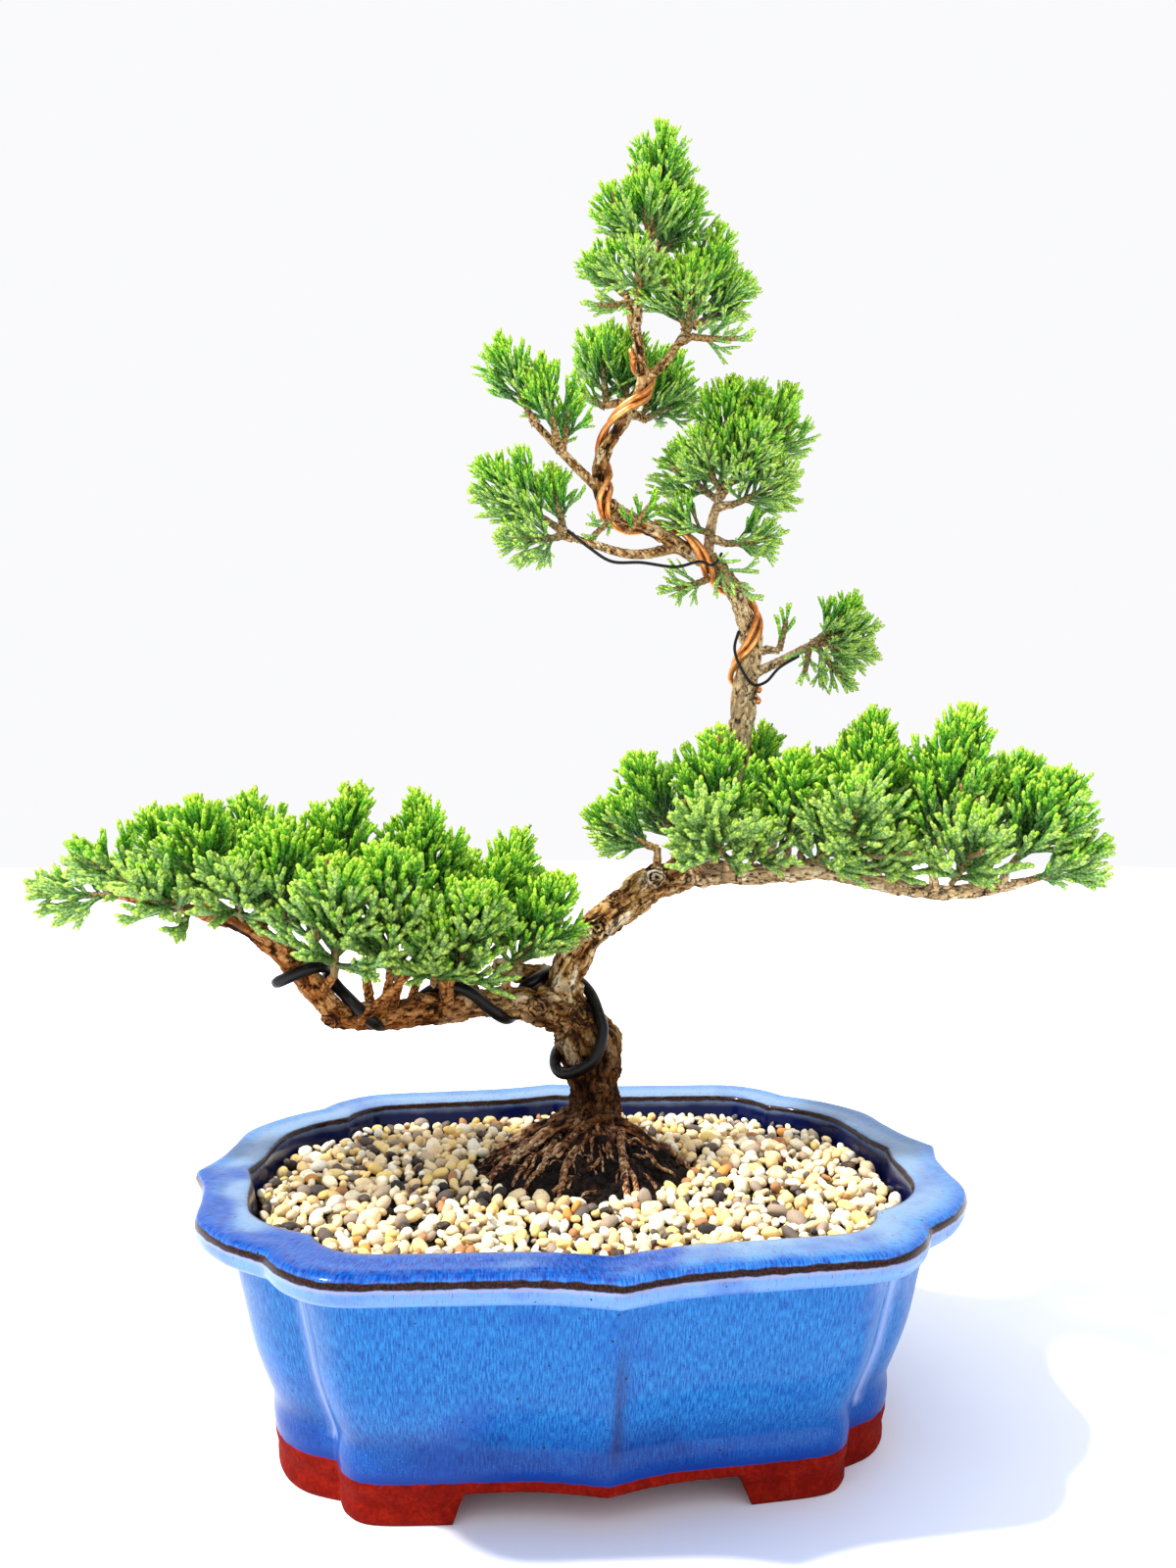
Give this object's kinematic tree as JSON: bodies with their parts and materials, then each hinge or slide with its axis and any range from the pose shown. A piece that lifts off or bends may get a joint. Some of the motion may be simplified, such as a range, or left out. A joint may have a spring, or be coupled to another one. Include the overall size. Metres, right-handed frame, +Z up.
{
  "type": "shimpaku juniper bonsai",
  "caption": "Informal upright shimpaku juniper bonsai, wired, with layered foliage pads, standing in a lobed glazed ceramic pot filled with soil and pebbles.",
  "frame": {"origin": "on the ground at the middle of the whole object's box, which is the middle of the pot to within 1 mm", "axes": "+Z up, +X to the right along the pot's long side, -Y towards the viewer"},
  "size_m": [0.3278, 0.186, 0.3833],
  "materials": {
    "glaze": "mottled blue gloss glaze over a bare terracotta foot",
    "screen": "matt moulded mesh",
    "soil": "dark, damp, crumbly potting soil",
    "gravel": "rounded matt pebbles of mixed pale colours",
    "bark": "rough flaking bark",
    "foliage": "waxy scale leaves, lime at the tips",
    "black_wire": "black anodised, satin",
    "copper_wire": "dull annealed copper"
  },
  "bodies": {
    "root": {"drain_screen_left": "screen", "drain_screen_right": "screen", "gravel": "gravel", "pot": "glaze", "soil": "soil", "spray_apex_a": "foliage", "spray_apex_b": "foliage", "spray_apex_c": "foliage", "spray_apex_d": "foliage", "spray_left_b": "foliage", "spray_left_c": "foliage", "spray_left_d": "foliage", "spray_left_e": "foliage", "spray_left_f": "foliage", "spray_left_g": "foliage", "spray_left_h": "foliage", "spray_left_i": "foliage", "spray_left_j": "foliage", "spray_left_k": "foliage", "spray_left_l": "foliage", "spray_left_m": "foliage", "spray_left_n": "foliage", "spray_left_o": "foliage", "spray_left_p": "foliage", "spray_left_tip": "foliage", "spray_low_left_a": "foliage", "spray_low_left_b": "foliage", "spray_mid_a": "foliage", "spray_mid_b": "foliage", "spray_right_a": "foliage", "spray_right_b": "foliage", "spray_right_c": "foliage", "spray_right_d": "foliage", "spray_right_e": "foliage", "spray_right_f": "foliage", "spray_right_g": "foliage", "spray_right_h": "foliage", "spray_right_i": "foliage", "spray_right_j": "foliage", "spray_right_k": "foliage", "spray_right_l": "foliage", "spray_right_m": "foliage", "spray_right_n": "foliage", "spray_right_up_a": "foliage", "spray_right_up_b": "foliage", "spray_right_up_c": "foliage", "spray_right_up_d": "foliage", "spray_right_up_e": "foliage", "spray_small_right": "foliage", "spray_small_sprig": "foliage", "spray_top_right_a": "foliage", "spray_top_right_b": "foliage", "spray_up_left_a": "foliage", "spray_up_left_b": "foliage", "wire_black_heavy": "black_wire", "wire_copper_a": "copper_wire", "wire_copper_b": "copper_wire", "wire_thin_left": "black_wire", "wire_thin_right": "black_wire", "wood": "bark"}
  },
  "joints": []
}
